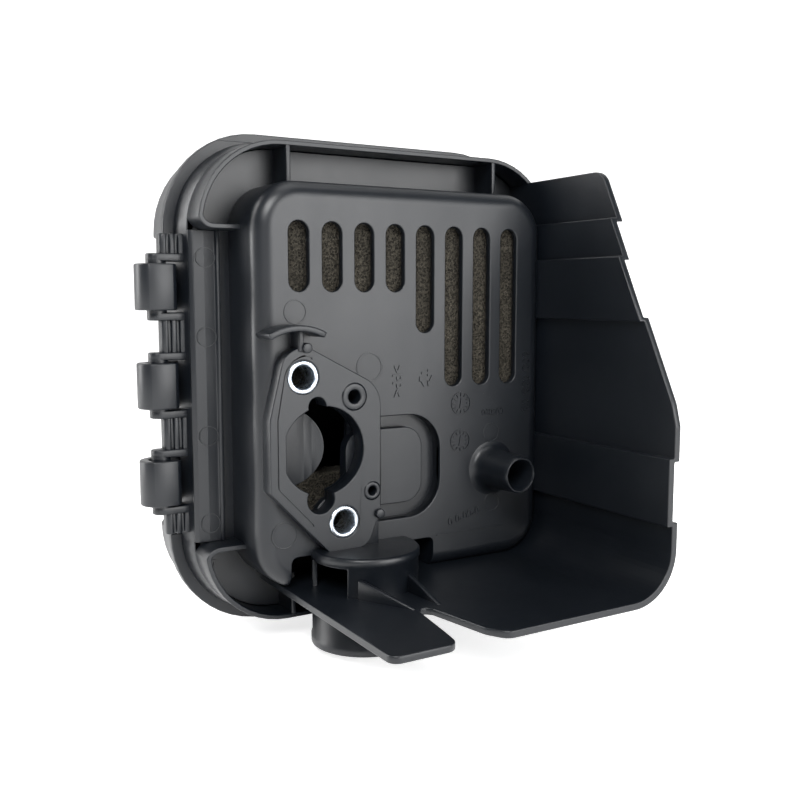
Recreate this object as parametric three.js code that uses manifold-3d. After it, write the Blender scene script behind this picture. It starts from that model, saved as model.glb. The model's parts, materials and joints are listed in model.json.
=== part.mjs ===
// Air filter housing of a small engine: a rear housing that bolts to the carburettor, a hinged
// front cover with two latch tabs, the foam element between them, and the primer in its well.
// Millimetres. X to the right and Z up as seen from the engine, Y away from the engine.
// The origin lies on the flange face that meets the carburettor.

import * as THREE from 'three';
import Module from 'manifold-3d';
import { mergeVertices } from 'three/addons/utils/BufferGeometryUtils.js';

const wasm = await Module();
wasm.setup();

// ---------------------------------------------------------------- driving dimensions

const wall = 2.2;              // moulded wall
const rib = 1.4;               // thin moulded ribs
const gap = 0.3;               // clearance where one piece rests on another

// planes along Y
const flangeY = 0;             // face that meets the carburettor
const faceY = 5;               // face of the raised filter box
const rimY = 17.5;             // free edge of the rim wall
const columnY = 26;            // face of the hinge column
const floorY = 28;             // floor of the channel around the box
const jointY = 36;             // plane where housing and cover meet
const coverY = 62;             // outside of the cover

// filter box and the outlines that follow it
const box = { x: 17.7, z: 18.5, w: 105.4, h: 123.6, r: 14 };
const rimOffset = 12.9;        // rim wall outside the box
const coverOffset = 17.6;      // cover's band outside the box
const faceRound = 5;           // rounding of the face's edge
const boxLeft = box.x - box.w / 2;
const boxRight = box.x + box.w / 2;
const boxTop = box.z + box.h / 2;
const boxBottom = box.z - box.h / 2;
const rimLeft = boxLeft - rimOffset;
const rimRight = boxRight + rimOffset;

// carburettor throat, stud sleeves and flange
const throat = { x: -16.3, z: 0, r: 13.4, flat: 12.2 };
const studOffset = { x: 6.6, z: 22.45 };           // from the throat to a stud
const sleeve = { r: 5, bore: 3.55, back: 9.6, proud: 0.2, clearance: 0.05, boss: 2.2 };
const pad = { left: -33.7, right: 3.2 };

// intake slots in the face
const slots = { first: -21.6, pitch: 11, width: 6.6, top: boxTop - 12 };
const slotLengths = [20.8, 20.8, 20.8, 20.8, 33.8, 51.5, 51.5, 51.5];

// primer well, its notch in the box and the bottom plate it stands on
const well = { x: -1.8, y: 1.4, r: 17, wall: 2, top: boxBottom + 12.3, bottom: boxBottom - 17.7 };
const notch = { left: well.x - well.r - 6.2, right: well.x + well.r + 10.5, top: boxBottom + 10.3 };
const primer = { seat: 6.5, flange: 1.8, dome: 9, lip: 2.6, ring: 5 };
const plateZ = boxBottom + 0.3;

// shroud, with a sideways step from panel to panel
const shroud = { t: 2.2, step: 2, front: -57, corner: 14, finLeft: -26, top: boxTop + 5.6 };

// hinge beside the rim, between the rim's two curled ends
const zone = { low: boxBottom + 13.3, high: boxTop - 14.3, corner: 5 };
const hinge = { x: rimLeft - 8.1, y: 33.4, pin: 3, clearance: 0.6, hook: 2.9, z: box.z + 0.5, pitch: 29.9 };
const hingeBore = hinge.pin + hinge.clearance;
const ear = { half: 8.9, t: 2.4 };
const hookHalf = 7;

// latch tabs and the catches they hold, on the side away from the hinge
const latch = { z: 30, w: 16, side: 0.8 };
const catchY = jointY - 6;
const tabX = rimRight + 0.9;                       // inner face of a tab's hook

// ---------------------------------------------------------------- making and joining solids

function toManifold(geometry) {
  const g = geometry.index ? geometry.toNonIndexed() : geometry.clone();
  g.deleteAttribute('normal');
  g.deleteAttribute('uv');
  const welded = mergeVertices(g, 1e-4);
  return new wasm.Manifold(new wasm.Mesh({
    numProp: 3,
    vertProperties: new Float32Array(welded.attributes.position.array),
    triVerts: new Uint32Array(welded.index.array),
  }));
}

const join = (...solids) => solids.reduce((a, b) => a.add(b));
const cut = (from, ...tools) => tools.reduce((a, b) => a.subtract(b), from);

function extrude(shape, depth, round = 0, segments = 3) {
  return new THREE.ExtrudeGeometry(shape, {
    depth: depth - 2 * round,
    bevelEnabled: round > 0,
    bevelThickness: round,
    bevelSize: round,
    bevelOffset: -round,
    bevelSegments: segments,
  }).translate(0, 0, round);
}

// A shape drawn in X and Z, between two planes of Y.
function slab(shape, y0, y1, round = 0) {
  return toManifold(extrude(shape, y1 - y0, round).rotateX(Math.PI / 2).translate(0, y1, 0));
}

// A shape drawn in X and Y, between two heights.
function post(shape, z0, z1, round = 0) {
  return toManifold(extrude(shape, z1 - z0, round).translate(0, 0, z0));
}

// A shape drawn in Y and Z, between two planes of X.
function panel(shape, x0, x1) {
  const turn = new THREE.Matrix4().makeBasis(
    new THREE.Vector3(0, 1, 0), new THREE.Vector3(0, 0, 1), new THREE.Vector3(1, 0, 0));
  return toManifold(extrude(shape, x1 - x0).applyMatrix4(turn).translate(x0, 0, 0));
}

// A profile of radius and position, turned about an axis along Y or Z.
function turned(profile, x, other, axis, sides = 40) {
  const g = new THREE.LatheGeometry(profile.map(([r, h]) => new THREE.Vector2(r, h)), sides);
  if (axis === 'z') g.rotateX(Math.PI / 2).translate(x, other, 0);
  else g.translate(x, 0, other);
  return toManifold(g);
}

function rod(r, x, z, y0, y1, sides = 32) {
  return turned([[0, y0], [r, y0], [r, y1], [0, y1]], x, z, 'y', sides);
}

function pole(r, x, y, z0, z1, sides = 40) {
  return turned([[0, z0], [r, z0], [r, z1], [0, z1]], x, y, 'z', sides);
}

// A closed outline through points; neighbours that fall together are taken once.
function polygon(points) {
  const all = points.map(([a, b]) => new THREE.Vector2(a, b));
  return new THREE.Shape(all.filter((p, i) => p.distanceTo(all[(i + all.length - 1) % all.length]) > 1e-5));
}

function rect(a0, a1, b0, b1) {
  return polygon([[a0, b0], [a1, b0], [a1, b1], [a0, b1]]);
}

// Points along an arc between two angles, close enough together to keep within the tolerance.
function arc(a, b, r, from, to) {
  const tolerance = 0.06;
  const step = 2 * Math.acos(1 - Math.min(0.3, tolerance / r));
  const count = Math.max(2, Math.ceil(Math.abs(to - from) / step));
  return Array.from({ length: count + 1 }, (_, i) => {
    const angle = from + (to - from) * i / count;
    return [a + r * Math.cos(angle), b + r * Math.sin(angle)];
  });
}

// A polygon whose corners are rounded, each [a, b, radius], listed anticlockwise.
function rounded(corners) {
  const n = corners.length;
  return polygon(corners.flatMap(([a, b, r = 0], i) => {
    if (r < 0.05) return [[a, b]];
    const here = new THREE.Vector2(a, b);
    const before = new THREE.Vector2(...corners[(i + n - 1) % n]).sub(here).normalize();
    const after = new THREE.Vector2(...corners[(i + 1) % n]).sub(here).normalize();
    const half = Math.acos(before.dot(after)) / 2;
    const centre = before.clone().add(after).normalize().multiplyScalar(r / Math.sin(half)).add(here);
    const start = before.multiplyScalar(r / Math.tan(half)).add(here).sub(centre).angle();
    const end = after.multiplyScalar(r / Math.tan(half)).add(here).sub(centre).angle();
    const sweep = Math.atan2(Math.sin(end - start), Math.cos(end - start));
    return arc(centre.x, centre.y, r, start, start + sweep);
  }));
}

// The box's outline grown by an offset (or shrunk by a negative one).
function outline(offset) {
  const w = box.w / 2 + offset;
  const h = box.h / 2 + offset;
  const r = box.r + offset;
  return rounded([
    [box.x - w, box.z - h, r], [box.x + w, box.z - h, r],
    [box.x + w, box.z + h, r], [box.x - w, box.z + h, r],
  ]);
}

function ring(outer, inner, y0, y1) {
  return cut(slab(outline(outer), y0, y1), slab(outline(inner), y0 - 1, y1 + 1));
}

// The outline as a block whose edge is rounded at one end only.
function domed(offset, y0, y1, round, end) {
  const whole = slab(outline(offset), end === 'front' ? y0 : y0 - 2 * round,
    end === 'front' ? y1 + 2 * round : y1, round);
  return whole.intersect(slab(outline(offset + 1), y0, y1));
}

const hingeCentres = [-1, 0, 1].map((i) => hinge.z + i * hinge.pitch);

// ---------------------------------------------------------------- rear housing

// Room for the primer well, cut from the box's lower edge, grown all round by the wall inside.
function notchBlock(grow, y1) {
  return slab(rounded([
    [notch.left - grow, boxBottom - 5, 0], [notch.right + grow, boxBottom - 5, 0],
    [notch.right + grow, notch.top + grow, 2], [notch.left - grow, notch.top + grow, 2],
  ]), faceY - 5, y1);
}

function slotShape(index) {
  const x = slots.first + index * slots.pitch;
  const r = slots.width / 2;
  const bottom = slots.top - slotLengths[index];
  return polygon([...arc(x, slots.top - r, r, 0, Math.PI), ...arc(x, bottom + r, r, Math.PI, 2 * Math.PI)]);
}

const sleeveCentres = [
  { x: throat.x - studOffset.x, z: throat.z + studOffset.z },
  { x: throat.x + studOffset.x, z: throat.z - studOffset.z },
];

const padShape = rounded([
  [pad.left, -11.4, 2],
  [-14.8, -31.4, 1],
  [-1.5, -31.4, 5.3],
  [pad.right, -20, 5],
  [pad.right, 18.5, 9.3],
  [-21, 31.2, 5],
  [-28.5, 31.2, 7.3],
  [pad.left, 10, 6],
]);

function throatShape() {
  const { x, z, r, flat } = throat;
  const reach = Math.acos(flat / r);
  return polygon(arc(x, z, r, Math.PI + reach, 3 * Math.PI - reach));
}

// The rim's two ends curl in beside the hinge, so the channel stops short of the hinge zone.
function channel(inset, y0, y1) {
  const left = rimLeft + inset;
  const low = zone.low - inset;
  const high = zone.high + inset;
  const r = zone.corner - inset;
  const bay = rounded([
    [left - 20, low - r - 0.1, 0], [left, low - r - 0.1, 0], [left, low, r], [boxLeft + wall, low, 0],
    [boxLeft + wall, high, 0], [left, high, r], [left, high + r + 0.1, 0], [left - 20, high + r + 0.1, 0],
  ]);
  return cut(slab(outline(rimOffset - inset), y0, y1), slab(bay, y0 - 1, y1 + 1));
}

function rimAndFloor() {
  const rim = cut(channel(0, rimY, floorY + wall), channel(rib, rimY - 1, floorY));
  const floor = slab(outline(rimOffset), floorY, floorY + wall);
  const skirt = ring(rimOffset, rimOffset - wall, floorY, jointY);
  const column = slab(rect(rimLeft, boxLeft - 3.6, zone.low, zone.high), columnY, floorY + wall);
  const ribsX = [-19, 58];
  const channelRibs = ribsX.flatMap((x) => [
    slab(rect(x - rib / 2, x + rib / 2, boxTop - 2, boxTop + rimOffset - 0.5), rimY, floorY + 1),
    slab(rect(x - rib / 2, x + rib / 2, boxBottom - rimOffset + 0.5, boxBottom + 2), rimY, floorY + 1),
  ]);
  return join(rim, floor, skirt, column, ...channelRibs);
}

// The groove beside the flange is a moulded trough that stands into the box.
function troughShape(inset) {
  return rounded([
    [-4, -25.1 + inset, 0], [28.3 - inset, -25.1 + inset, 13 - inset],
    [28.3 - inset, 8.4 - inset, 13 - inset], [-4, 8.4 - inset, 0],
  ]);
}

const troughIsland = rounded([[-4, -20, 0], [21.2, -20, 7], [21.2, 4.5, 7], [-4, 4.5, 0]]);

const nipple = { x: 49.2, z: -11.9, base: 8.2, neck: 6.6, tip: 5.85, bore: 4.95, end: -11.2 };

function nippleBody() {
  return turned([
    [0, nipple.end], [nipple.tip, nipple.end], [nipple.tip, nipple.end + 1],
    [nipple.neck, faceY - 5], [nipple.base - 0.7, faceY - 1.6], [nipple.base, faceY + 0.5],
    [0, faceY + 0.5],
  ], nipple.x, nipple.z, 'y');
}

// The arc rib over the flange, standing out towards the engine.
function arcRib() {
  const centre = [-26, 19];
  const r = 18;
  const shape = polygon([...arc(...centre, r + 0.9, 1.08, 2.1), ...arc(...centre, r - 0.9, 2.1, 1.08)]);
  return slab(shape, faceY - 9.5, faceY + 1);
}

// Where the carburettor's passages meet the flange: two holes in raised rings and two pegs.
const passages = [
  { x: -6.1, z: 15.9, hole: 2.1, ring: 4.1 },
  { x: 0, z: -13.7, hole: 1.45, ring: 2.8 },
];
const pegs = [{ x: -21.9, z: 31.1 }, { x: 2.4, z: -21.1 }];

// Rounded tongue behind the throat that keeps fuel spray off the foam, dished towards the engine.
function deflector() {
  const bend = 34;
  const centre = [boxLeft + 6, 14.5 - bend];
  const sheet = polygon([...arc(...centre, bend, 1.0, 1.9), ...arc(...centre, bend - 1.8, 1.9, 1.0)]);
  const trim = rounded([
    [boxLeft + 1, -13, 0], [-12.4, -13, 12.9], [-12.4, 13, 12.9], [boxLeft + 1, 13, 0]]);
  return post(sheet, -16, 16).intersect(slab(trim, 6, 24));
}

// The well's drum, its bore and the window in its side towards the hinge.
function primerWell() {
  const { x, y, r, top, bottom } = well;
  const drum = pole(r, x, y, bottom, top, 56);
  const bore = pole(r - well.wall, x, y, bottom - 1, top - 2, 56);
  const view = polygon([[x, y], [x - 22, y - 20], [x - 40, y - 6], [x - 30, y + 9]]);
  return { drum, bore, window: post(view, top - 12.2, top - 3.5) };
}

// Right wall and bottom plate in one run: the box's side carried on towards the engine.
function shroudWall() {
  const { t, step, corner } = shroud;
  const out = boxRight;
  const heights = [shroud.top + 1, boxTop - 9.7, boxTop - 21.9, boxTop - 41.7, boxBottom + 41.8, boxBottom + 21.3];
  const shifts = [2.6, 0, -step, 0, -step, 0];
  const inner = [];
  heights.forEach((z, i) => {
    inner.push([out + shifts[i], z]);
    if (i + 1 < heights.length) inner.push([out + shifts[i], heights[i + 1]]);
  });
  const outer = [];
  heights.forEach((z, i) => {
    const drop = i === 0 ? 0 : Math.sign(shifts[i] - shifts[i - 1]) * t / 2;
    const fall = i + 1 < heights.length ? Math.sign(shifts[i + 1] - shifts[i]) * t / 2 : 0;
    outer.push([out + shifts[i] + t, z + drop]);
    if (i + 1 < heights.length) outer.push([out + shifts[i] + t, heights[i + 1] + fall]);
  });
  const run = rounded([
    ...inner,
    [out, plateZ, corner], [shroud.finLeft, plateZ, 0], [shroud.finLeft, plateZ - t, 0],
    [out + t, plateZ - t, corner + t],
    ...outer.reverse(),
  ].reverse());
  const solid = slab(run, shroud.front - 5, floorY + 1);

  // free edge of the side wall
  const side = panel(rounded([
    [shroud.front, boxBottom - 20, 0], [40, boxBottom - 20, 0], [40, shroud.top, 0], [-20, shroud.top, 6],
    [-55.2, 14.6, 8], [shroud.front, 8, 2],
  ].reverse()), shroud.finLeft - 10, rimRight);

  // free edge of the bottom plate, with the slot between fin and shroud
  const plan = post(rounded([
    [shroud.finLeft, 40, 0], [shroud.finLeft, shroud.front, 3], [-6, shroud.front, 4],
    [-4.6, -50, 3], [-1.6, -30.5, 0], [-0.4, -28.9, 0], [1.6, -28.9, 0], [2.9, -30.5, 0],
    [6.6, -51, 6], [10, shroud.front, 4], [rimRight, shroud.front, 0], [rimRight, 40, 0],
  ].reverse()), boxBottom - 20, boxTop + 20);
  return solid.intersect(side).intersect(plan);
}

// Triangular ribs that stand on the bottom plate against the well.
function gussets() {
  const runs = [
    [[-11.4, -12.4], [-1.9, -29]],
    [[5.2, -11.6], [6.6, -28.6]],
  ];
  return runs.map(([from, to]) => {
    const a = new THREE.Vector2(...from);
    const b = new THREE.Vector2(...to);
    const length = a.distanceTo(b);
    const side = polygon([[0, -1], [length, -1], [length, 0], [1.5, 5.6], [0, 5.6]]);
    const angle = Math.atan2(b.y - a.y, b.x - a.x);
    return toManifold(extrude(side, rib)
      .translate(0, 0, -rib / 2).rotateX(Math.PI / 2).rotateZ(angle).translate(a.x, a.y, plateZ));
  });
}

// Rail with six ears and three pins at the left, which the cover's hooks hold.
function hingeRail() {
  const earShape = rounded([
    [rimLeft + 1, hinge.y - hinge.pin, 0], [rimLeft + 1, jointY, 0],
    [hinge.x - hinge.pin, jointY, 2.6], [hinge.x - hinge.pin, hinge.y - hinge.pin, 2.6],
  ].reverse());
  const ears = hingeCentres.flatMap((z) => [-1, 1].map((side) => {
    const centre = z + side * ear.half;
    return post(earShape, centre - ear.t / 2, centre + ear.t / 2);
  }));
  const pins = hingeCentres.map((z) => pole(hinge.pin, hinge.x, hinge.y, z - ear.half, z + ear.half, 24));
  const railShape = rounded([
    [rimLeft + 1, hinge.y - 2.6, 0], [hinge.x + 0.6, hinge.y - 2.6, 1.4],
    [hinge.x + 0.6, hinge.y + 2.2, 1.4], [rimLeft + 1, hinge.y + 2.2, 0]]);
  const flutes = [2.6, 5.2].map((dx) => rect(hinge.x + dx, hinge.x + dx + 1.1, hinge.y - 4, hinge.y - 1.6));
  const stretches = [
    [zone.low + 2.6, hingeCentres[0] - ear.half],
    [hingeCentres[0] + ear.half, hingeCentres[1] - ear.half],
    [hingeCentres[1] + ear.half, hingeCentres[2] - ear.half],
    [hingeCentres[2] + ear.half, zone.high - 1],
  ];
  const rail = stretches.map(([low, high]) =>
    cut(post(railShape, low, high), ...flutes.map((flute) => post(flute, low - 1, high + 1))));
  return join(...ears, ...pins, ...rail);
}

// Catches on the right-hand skirt that the latch tabs snap over.
const latchCentres = [-1, 1].map((side) => box.z + side * latch.z);

function catches() {
  const wedge = polygon([
    [rimRight - 1, catchY], [rimRight + 2.4, catchY], [rimRight + 2.4, catchY + 1],
    [rimRight + 0.2, catchY + 3.6], [rimRight - 1, catchY + 3.6]]);
  return latchCentres.map((z) => post(wedge, z - latch.w / 2 + 2, z + latch.w / 2 - 2));
}

function makeRearHousing() {
  const boxOuter = cut(
    domed(0, faceY, floorY + wall, faceRound, 'front'), notchBlock(0, floorY - wall));
  const boxInner = cut(slab(outline(-wall), faceY + wall + 0.3, jointY + 1), notchBlock(wall, floorY));
  const padSolid = slab(padShape, flangeY, faceY + 2);
  const bosses = sleeveCentres.map(({ x, z }) =>
    rod(sleeve.r + sleeve.boss, x, z, faceY + 1, sleeve.back - 0.6));
  const trough = slab(troughShape(-1.6), faceY + 1, faceY + 6.4);
  const { drum, bore, window } = primerWell();
  // web between the flange's lower corner and the top of the well
  const web = slab(rect(-4.2, pad.right, well.top - 1, Math.max(well.top + 1, -19)), flangeY + 1.6, faceY + 1);

  const solid = join(
    cut(join(boxOuter, rimAndFloor()), boxInner),
    padSolid, ...bosses, trough, arcRib(), nippleBody(), shroudWall(), hingeRail(), ...catches(),
    deflector(), drum, web, ...gussets(),
    ...passages.map(({ x, z, ring: r }) => rod(r, x, z, flangeY, faceY + 2)),
    ...pegs.map(({ x, z }) => rod(1.5, x, z, flangeY - 1.4, faceY + 1, 16)));

  const throatCut = slab(throatShape(), flangeY - 1, faceY + wall + 2);
  const lobes = [rod(2.9, -18.3, 13.4, flangeY - 1, 9), rod(4.5, -17.4, -14.6, flangeY - 1, 9)];
  return cut(solid,
    throatCut, ...lobes, bore, window,
    ...sleeveCentres.map(({ x, z }) => rod(sleeve.r + sleeve.clearance, x, z, flangeY - 2, sleeve.back + 1, 40)),
    ...slotLengths.map((_, i) => slab(slotShape(i), faceY - 1, faceY + wall + 3)),
    ...passages.map(({ x, z, hole }) => rod(hole, x, z, flangeY - 1, faceY + wall + 4, 20)),
    cut(slab(troughShape(0), faceY - 1, faceY + 4.4), slab(troughIsland, faceY - 2, faceY + 6)),
    rod(nipple.bore, nipple.x, nipple.z, nipple.end - 1, faceY + wall + 2));
}

// ---------------------------------------------------------------- front cover

const bandDepth = 4;
const lipY = jointY - 1.5;                         // the lip presses the seal from here

function makeFrontCover() {
  const shell = cut(
    domed(coverOffset - 2, jointY + 0.4, coverY, 10, 'back'),
    domed(coverOffset - 2 - wall, jointY - 2, coverY - wall, 8, 'back'));
  // thick band around the joint, cut away beside the hinge and stepped back along the top
  const band = ring(coverOffset, coverOffset - 2 - wall, jointY + 0.4, jointY + 0.4 + bandDepth);
  const topRecess = slab(
    rect(boxLeft - 1, boxRight + 1.6, boxTop + coverOffset - 3.2, boxTop + coverOffset + 9),
    jointY - 1, jointY + 3.4);
  const lip = ring(rimOffset - wall - 0.5, rimOffset - wall - 2.7, lipY, jointY + 12);
  const bridge = ring(coverOffset - 3, rimOffset - wall - 2.7, jointY + 0.6, jointY + 3);
  const beside = slab(rect(rimLeft - 40, rimLeft - 0.4, zone.low + 1.2, zone.high - 1.2), jointY - 3, coverY + 1);
  const flank = slab(
    rect(rimLeft - 0.4, rimLeft + 1.8, zone.low - 1, zone.high + 1), jointY + 0.4, coverY - 6);
  // pressure ribs that hold the foam against the housing
  const ribs = [-32.5, 0, 32.5].map((dz) => box.z + dz).map((z) =>
    slab(rect(boxLeft - 8, boxRight + 8, z - rib / 2, z + rib / 2), floorY - 0.2, coverY - 1));
  const hull = domed(coverOffset - 2.4, floorY - 2, coverY - 0.4, 9, 'back');
  const keepIn = slab(outline(-wall - 1.5), floorY - 3, coverY);
  const solid = join(
    cut(join(shell, band, bridge), beside, topRecess),
    cut(lip, beside), flank.intersect(hull),
    ...ribs.map((one) => one.intersect(keepIn.add(slab(outline(6), jointY + 3, coverY))).intersect(hull)));
  const windows = latchCentres.map((z) => slab(
    rect(rimRight - 0.2, rimRight + 12, z - latch.w / 2 - latch.side, z + latch.w / 2 + latch.side),
    jointY - 1, jointY + 8.1));
  return join(cut(solid, ...windows), ...hooks());
}

// C-shaped hooks: an arm from the cover's side wraps the pin from behind round to the front.
function hooks() {
  const { x, y } = hinge;
  const from = Math.PI * 0.36;
  const to = Math.PI * 1.8;
  const wrap = polygon([...arc(x, y, hingeBore + hinge.hook, from, to), ...arc(x, y, hingeBore, to, from)]);
  const arm = polygon([
    [x + 1.2, y + 3.9], [rimLeft + 1.6, jointY + 1.4], [rimLeft + 1.6, jointY + 6],
    [x + 1.5, y + 6.3]]);
  return hingeCentres.map((z) =>
    join(post(wrap, z - hookHalf, z + hookHalf), post(arm, z - hookHalf, z + hookHalf)));
}

// ---------------------------------------------------------------- latch tabs

// Each tab springs from the cover's side, reaches over the joint and hooks behind its catch.
function makeLatchTab(z) {
  const tab = polygon([
    [tabX + 1.9, catchY - 2.6], [tabX + 4.4, catchY - 2.6], [tabX + 5.2, jointY + 5.6],
    [tabX + 3, jointY + 7.6], [tabX - 0.6, jointY + 7.6], [tabX - 0.6, jointY + 5.4],
    [tabX + 2.6, jointY + 5.4], [tabX + 2.4, catchY - gap], [tabX, catchY - gap],
    [tabX, catchY - 2.6]]);
  return post(tab, z - latch.w / 2, z + latch.w / 2);
}

// ---------------------------------------------------------------- foam, seal, sleeves, primer

function makeFoam() {
  const left = boxLeft + wall + 1;
  const right = boxRight - wall - 1;
  const slabFoam = slab(rounded([
    [left, boxBottom + 14.3, 4], [right, boxBottom + 14.3, 4],
    [right, boxTop - wall - 1, 11], [left, boxTop - wall - 1, 11],
  ]), faceY + wall + 1, floorY - 2.6);
  return cut(slabFoam,
    slab(rect(left - 1, right + 1, -40, 13.6), 0, faceY + 10.5),
    slab(rect(left - 1, 5, -9.5, 18), 0, 50),
    slab(rect(left - 1, -13, 10, 32), 0, faceY + 10.5),
    slab(rect(left - 1, 2, 10, 22), 0, faceY + 10.5));
}

function makeSeal() {
  return ring(rimOffset - wall - 0.5, rimOffset - wall - 3.5, floorY + wall + 0.1, lipY - 0.2);
}

function makeSleeve({ x, z }) {
  const { r, bore, proud, back } = sleeve;
  return turned([
    [bore, -proud], [r - 0.4, -proud], [r, 0.2 - proud], [r, back], [bore, back], [bore, -proud],
  ], x, z, 'y', 40);
}

const primerSeat = well.bottom + primer.seat;      // underside of the bulb's flange

function makePrimerRing() {
  const r = well.r - well.wall - 0.1;
  return turned([
    [r - 2.4, primerSeat - gap], [r - 2.4, primerSeat - primer.ring + 1], [r - 1.6, primerSeat - primer.ring],
    [r, primerSeat - primer.ring], [r, primerSeat - gap], [r - 2.4, primerSeat - gap],
  ], well.x, well.y, 'z', 48);
}

function makePrimerBulb() {
  const flangeR = well.r - well.wall - 0.6;
  const dome = flangeR - primer.lip;
  const top = primerSeat + primer.flange;
  const points = [[0, top], [flangeR, top], [flangeR, primerSeat], [dome, primerSeat]];
  for (let i = 1; i <= 6; i += 1) {
    const t = (i / 6) * (Math.PI / 2);
    points.push([i === 6 ? 0 : dome * Math.cos(t), primerSeat - primer.dome * Math.sin(t)]);
  }
  return turned(points.reverse(), well.x, well.y, 'z', 48);
}

// ---------------------------------------------------------------- assembly

const finishes = {
  moulded: { color: 0x3a3d3e, roughness: 0.5, metalness: 0 },
  foam: { color: 0x5e5548, roughness: 1, metalness: 0 },
  seal: { color: 0x1b1c1d, roughness: 0.9, metalness: 0 },
  zinc: { color: 0xc8ccd0, roughness: 0.25, metalness: 1 },
  rubber: { color: 0x202224, roughness: 0.6, metalness: 0 },
};

const parts = {
  rear_housing: [makeRearHousing(), 'moulded'],
  front_cover: [makeFrontCover(), 'moulded'],
  latch_tab_lower: [makeLatchTab(latchCentres[0]), 'moulded'],
  latch_tab_upper: [makeLatchTab(latchCentres[1]), 'moulded'],
  foam_element: [makeFoam(), 'foam'],
  cover_seal: [makeSeal(), 'seal'],
  sleeve_upper: [makeSleeve(sleeveCentres[0]), 'zinc'],
  sleeve_lower: [makeSleeve(sleeveCentres[1]), 'zinc'],
  primer_ring: [makePrimerRing(), 'moulded'],
  primer_bulb: [makePrimerBulb(), 'rubber'],
};

const group = new THREE.Group();
group.name = 'air_filter_housing';
for (const [name, [solid, finish]] of Object.entries(parts)) {
  const { vertProperties, triVerts } = solid.getMesh();
  const geometry = new THREE.BufferGeometry();
  geometry.setAttribute('position', new THREE.BufferAttribute(new Float32Array(vertProperties), 3));
  geometry.setIndex(new THREE.BufferAttribute(new Uint32Array(triVerts), 1));
  const mesh = new THREE.Mesh(geometry, new THREE.MeshStandardMaterial(finishes[finish]));
  mesh.name = name;
  group.add(mesh);
}

export default group;
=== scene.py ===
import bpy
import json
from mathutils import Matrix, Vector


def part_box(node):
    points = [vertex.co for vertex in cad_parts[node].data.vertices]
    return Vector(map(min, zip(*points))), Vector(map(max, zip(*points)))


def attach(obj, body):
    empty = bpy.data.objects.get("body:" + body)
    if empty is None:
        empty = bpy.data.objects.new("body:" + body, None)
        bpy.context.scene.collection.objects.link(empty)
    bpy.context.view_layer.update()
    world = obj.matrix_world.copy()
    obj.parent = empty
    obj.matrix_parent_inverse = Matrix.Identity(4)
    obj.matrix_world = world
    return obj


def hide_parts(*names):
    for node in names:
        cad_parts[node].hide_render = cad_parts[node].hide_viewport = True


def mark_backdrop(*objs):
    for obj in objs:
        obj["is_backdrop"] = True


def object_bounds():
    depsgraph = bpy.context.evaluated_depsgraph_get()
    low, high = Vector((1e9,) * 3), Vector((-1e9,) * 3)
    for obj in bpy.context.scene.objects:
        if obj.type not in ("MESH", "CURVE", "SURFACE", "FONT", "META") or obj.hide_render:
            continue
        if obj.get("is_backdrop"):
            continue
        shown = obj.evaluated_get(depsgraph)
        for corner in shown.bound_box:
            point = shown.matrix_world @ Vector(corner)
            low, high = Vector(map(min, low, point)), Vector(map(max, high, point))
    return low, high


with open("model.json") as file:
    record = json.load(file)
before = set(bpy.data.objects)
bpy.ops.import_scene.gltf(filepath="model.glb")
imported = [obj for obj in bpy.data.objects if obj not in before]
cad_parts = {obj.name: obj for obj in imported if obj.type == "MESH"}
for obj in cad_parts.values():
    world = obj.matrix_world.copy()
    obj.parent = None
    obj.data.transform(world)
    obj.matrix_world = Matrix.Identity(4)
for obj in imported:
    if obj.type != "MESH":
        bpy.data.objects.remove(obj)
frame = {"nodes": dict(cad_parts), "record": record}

# The looks of a moulded air filter housing, built round its packed CAD part as a Blender add-on.

import json
from math import acos, atan2, ceil, cos, pi, radians, sin, tan
from types import SimpleNamespace

import bmesh
import bpy
from bpy.props import FloatProperty, FloatVectorProperty, PointerProperty
from mathutils import Matrix, Vector

bl_info = {
    "name": "Air Filter Housing",
    "version": (1, 0, 0),
    "blender": (4, 5, 0),
    "location": "3D View > Sidebar > Filter Housing",
    "description": "Builds a hinged air filter housing with its foam, seal, sleeves and primer",
    "category": "Object",
}

MM = 0.001


def length(name, description, default):
    """A length property, given in millimetres and kept in metres."""
    return FloatProperty(name=name, description=description, default=default * MM, min=0, unit="LENGTH")


def place(name, description, default):
    """A coordinate property, given in millimetres and kept in metres."""
    return FloatProperty(name=name, description=description, default=default * MM, unit="LENGTH")


# ------------------------------------------------------------------ properties

class FilterHousingBody(bpy.types.PropertyGroup):
    """Sizes that the rear housing and the cover share."""

    wall: length("Wall", "Thickness of the moulded walls", 2.2)
    rib: length("Rib", "Thickness of the rim and of thin ribs", 1.5)
    corner: length("Corner", "Corner radius of the filter box", 14)
    seal_offset: length("Seal offset", "Outer edge of the seal outside the filter box", 10.2)
    rim: length("Rim offset", "Rim wall outside the filter box", 12.9)
    cover: length("Cover offset", "Cover's band outside the filter box", 17.6)
    face_y: place("Face", "Plane of the filter box's face", 5)
    face_round: length("Face rounding", "Rounding of the face's edge", 5.5)
    rim_y: place("Rim edge", "Plane of the rim wall's free edge", 17.5)
    column_y: place("Column", "Plane of the strip beside the hinge", 26)
    floor_y: place("Floor", "Plane of the channel's floor", 28)
    joint_y: place("Joint", "Plane where housing and cover meet", 36)
    cover_y: place("Cover", "Outside of the cover", 62)
    flare: length("Flare", "How far the skirt widens towards the cover", 1.4)
    edge: length("Edge", "Rounding of moulded edges", 0.35)
    zone_low: place("Hinge zone foot", "Lower end of the hinge zone", -30)
    zone_high: place("Hinge zone head", "Upper end of the hinge zone", 66)


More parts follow.
